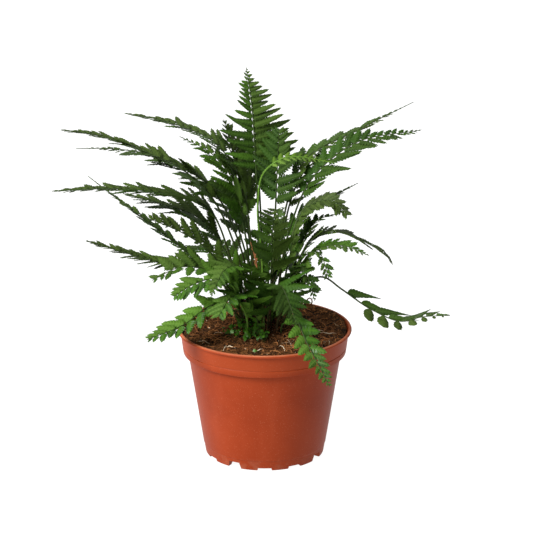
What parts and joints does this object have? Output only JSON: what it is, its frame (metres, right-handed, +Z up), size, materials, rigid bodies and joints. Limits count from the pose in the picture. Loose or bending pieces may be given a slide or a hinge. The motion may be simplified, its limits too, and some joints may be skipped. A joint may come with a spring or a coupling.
{
  "type": "potted korean rock fern",
  "caption": "Bushy fern with arching, toothed, twice-divided fronds growing from dark potting soil in a terracotta-coloured nursery pot with a stepped collar.",
  "frame": {"origin": "on the surface that the pot stands on, under the middle of the pot and 2 mm below the underside of its floor", "axes": "+Z up along the pot's axis, -Y towards the side that the picture shows, +X to the viewer's right"},
  "size_m": [0.3466, 0.2127, 0.343],
  "materials": {
    "terracotta_plastic": "satin",
    "potting_soil": "matte",
    "fern_leaf": "satin",
    "withered_leaf": "matte"
  },
  "bodies": {
    "root": {"pot": "terracotta_plastic", "soil": "potting_soil", "frond_top": "fern_leaf", "frond_top_right": "fern_leaf", "frond_top_left": "fern_leaf", "frond_high_right": "fern_leaf", "frond_high_back_right": "fern_leaf", "frond_high_left": "fern_leaf", "frond_high_front_left": "fern_leaf", "frond_high_back_left": "fern_leaf", "frond_inner_left": "fern_leaf", "frond_mid_left": "fern_leaf", "frond_mid_back_left": "fern_leaf", "frond_slant_left": "fern_leaf", "frond_low_left": "fern_leaf", "frond_front_left": "fern_leaf", "frond_low_front_left": "fern_leaf", "frond_curled_left": "fern_leaf", "frond_rim_left": "fern_leaf", "frond_arched_right": "fern_leaf", "frond_bent_right": "fern_leaf", "frond_far_right": "fern_leaf", "frond_small_right": "fern_leaf", "frond_hanging_right": "fern_leaf", "frond_low_right": "fern_leaf", "frond_rim_front": "fern_leaf", "frond_front": "fern_leaf", "frond_front_middle": "fern_leaf", "frond_front_right": "fern_leaf", "frond_over_front_left": "fern_leaf", "frond_over_front": "fern_leaf", "frond_young": "fern_leaf", "frond_back_right": "fern_leaf", "frond_back": "fern_leaf", "frond_back_left": "fern_leaf", "frond_low_back": "fern_leaf", "frond_low_back_left": "fern_leaf", "frond_low_back_right": "fern_leaf", "frond_withered": "withered_leaf"}
  },
  "joints": []
}
